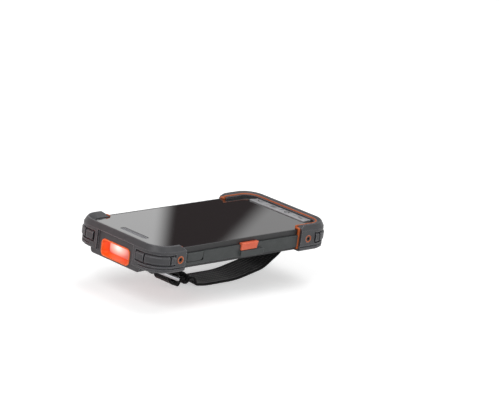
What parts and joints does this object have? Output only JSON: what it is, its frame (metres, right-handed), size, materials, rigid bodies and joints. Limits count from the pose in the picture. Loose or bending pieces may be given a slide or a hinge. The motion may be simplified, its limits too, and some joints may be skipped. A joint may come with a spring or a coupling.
{
  "type": "barcode data terminal",
  "caption": "Rugged hand-held barcode terminal with a touch screen, rubber end bumpers, side scan keys, a recessed scan window, hinged socket covers and a hand strap.",
  "frame": {"origin": "middle of the bounding box in plan, at the lowest point of the hand strap", "axes": "+Z out of the screen, -Y out of the scan window, +X towards the side with the audio jack cover"},
  "size_m": [0.0834, 0.164, 0.0446],
  "materials": {
    "bumper_rubber": "matte elastomer",
    "liner_orange": "satin elastomer",
    "key_orange": "satin",
    "bezel_orange": "satin",
    "case_black": "fine texture",
    "side_grey": "fine texture",
    "back_black": "fine texture",
    "screen_glass": "polished",
    "seal_black": "adhesive",
    "display": "polished",
    "key_silver": "metallic paint",
    "dome_steel": "satin",
    "board_green": "solder mask",
    "metal_can": "tin plated",
    "screw_steel": "zinc plated",
    "window_clear": "polished",
    "engine_black": "moulded",
    "lens_glass": "coated",
    "light_white": "diffuser",
    "aimer_red": "diffuser",
    "battery_black": "fine texture",
    "contact_gold": "gold plated",
    "webbing_black": "elastic weave",
    "bail_steel": "nickel plated",
    "mesh_steel": "perforated"
  },
  "bodies": {
    "terminal": {"audio_jack": "engine_black", "battery_contacts": "contact_gold", "battery_pack": "battery_black", "charging_socket": "metal_can", "cover_glass": "screen_glass", "cradle_contacts": "contact_gold", "display_module": "display", "earpiece_mesh": "mesh_steel", "earpiece_speaker": "engine_black", "flash_lens": "light_white", "front_camera": "lens_glass", "front_frame": "case_black", "glass_seal": "seal_black", "hand_strap": "webbing_black", "key_bumper": "bumper_rubber", "key_dome_sheet": "dome_steel", "key_liner": "liner_orange", "left_scan_switch": "engine_black", "left_side_strip": "side_grey", "loudspeaker": "engine_black", "main_board": "board_green", "middle_frame": "case_black", "rear_camera": "lens_glass", "rear_camera_window": "window_clear", "rear_housing": "back_black", "rear_screw_1": "screw_steel", "rear_screw_2": "screw_steel", "rear_screw_3": "screw_steel", "rear_screw_4": "screw_steel", "right_scan_switch": "engine_black", "right_side_strip": "side_grey", "scan_aimer": "aimer_red", "scan_bezel": "bezel_orange", "scan_bumper": "bumper_rubber", "scan_engine": "engine_black", "scan_lens": "lens_glass", "scan_light": "light_white", "scan_liner": "liner_orange", "scan_window": "window_clear", "shield_can": "metal_can", "side_screw_left_key": "screw_steel", "side_screw_left_scan": "screw_steel", "side_screw_right_key": "screw_steel", "side_screw_right_scan": "screw_steel", "strap_bar": "screw_steel", "vibration_motor": "metal_can"},
    "strap_bail": {"strap_bail": "bail_steel"},
    "battery_latch": {"battery_latch": "case_black"},
    "jack_cover": {"jack_cover": "side_grey"},
    "socket_cover": {"charging_socket_cover": "bumper_rubber"},
    "left_scan_key": {"left_scan_key": "key_orange"},
    "right_scan_key": {"right_scan_key": "key_orange"},
    "power_key": {"power_key": "case_black"},
    "volume_rocker": {"volume_rocker": "case_black"},
    "front_key_back": {"front_key_back": "key_silver"},
    "front_key_home": {"front_key_home": "key_silver"},
    "front_key_menu": {"front_key_menu": "key_silver"},
    "front_key_phone": {"front_key_phone": "key_silver"}
  },
  "joints": [
    {"name": "bail_hinge", "type": "hinge", "parent": "terminal", "child": "strap_bail", "pos_m": [0, -0.06, 0.0209], "axis": [1, 0, 0], "range_deg": [-3, 3]},
    {"name": "latch_slide", "type": "slide", "parent": "terminal", "child": "battery_latch", "axis": [0, -1, 0], "range_m": [0, 0.003], "stiffness_N_per_m": 400, "springref_m": -0.002},
    {"name": "jack_cover_hinge", "type": "hinge", "parent": "terminal", "child": "jack_cover", "pos_m": [0.0383, -0.0516, 0.0346], "axis": [0, 0, -1], "range_deg": [0, 100]},
    {"name": "socket_cover_hinge", "type": "hinge", "parent": "terminal", "child": "socket_cover", "pos_m": [0, 0.0803, 0.0298], "axis": [-1, 0, 0], "range_deg": [0, 100]},
    {"name": "left_scan_press", "type": "slide", "parent": "terminal", "child": "left_scan_key", "axis": [-1, 0, 0], "range_m": [0, 0.0005], "stiffness_N_per_m": 3000, "springref_m": -0.0004},
    {"name": "right_scan_press", "type": "slide", "parent": "terminal", "child": "right_scan_key", "axis": [1, 0, 0], "range_m": [0, 0.0005], "stiffness_N_per_m": 3000, "springref_m": -0.0004},
    {"name": "power_press", "type": "slide", "parent": "terminal", "child": "power_key", "axis": [1, 0, 0], "range_m": [0, 0.0004], "stiffness_N_per_m": 3000, "springref_m": -0.0004},
    {"name": "volume_rock", "type": "hinge", "parent": "terminal", "child": "volume_rocker", "pos_m": [-0.0373, 0.033, 0.03425], "axis": [0, 0, 1], "range_deg": [-2, 2], "stiffness_Nm_per_rad": 0.4},
    {"name": "front_key_back_press", "type": "slide", "parent": "terminal", "child": "front_key_back", "axis": [0, 0, -1], "range_m": [0, 0.0004], "stiffness_N_per_m": 2500, "springref_m": -0.0003},
    {"name": "front_key_home_press", "type": "slide", "parent": "terminal", "child": "front_key_home", "axis": [0, 0, -1], "range_m": [0, 0.0004], "stiffness_N_per_m": 2500, "springref_m": -0.0003},
    {"name": "front_key_menu_press", "type": "slide", "parent": "terminal", "child": "front_key_menu", "axis": [0, 0, -1], "range_m": [0, 0.0004], "stiffness_N_per_m": 2500, "springref_m": -0.0003},
    {"name": "front_key_phone_press", "type": "slide", "parent": "terminal", "child": "front_key_phone", "axis": [0, 0, -1], "range_m": [0, 0.0004], "stiffness_N_per_m": 2500, "springref_m": -0.0003}
  ]
}
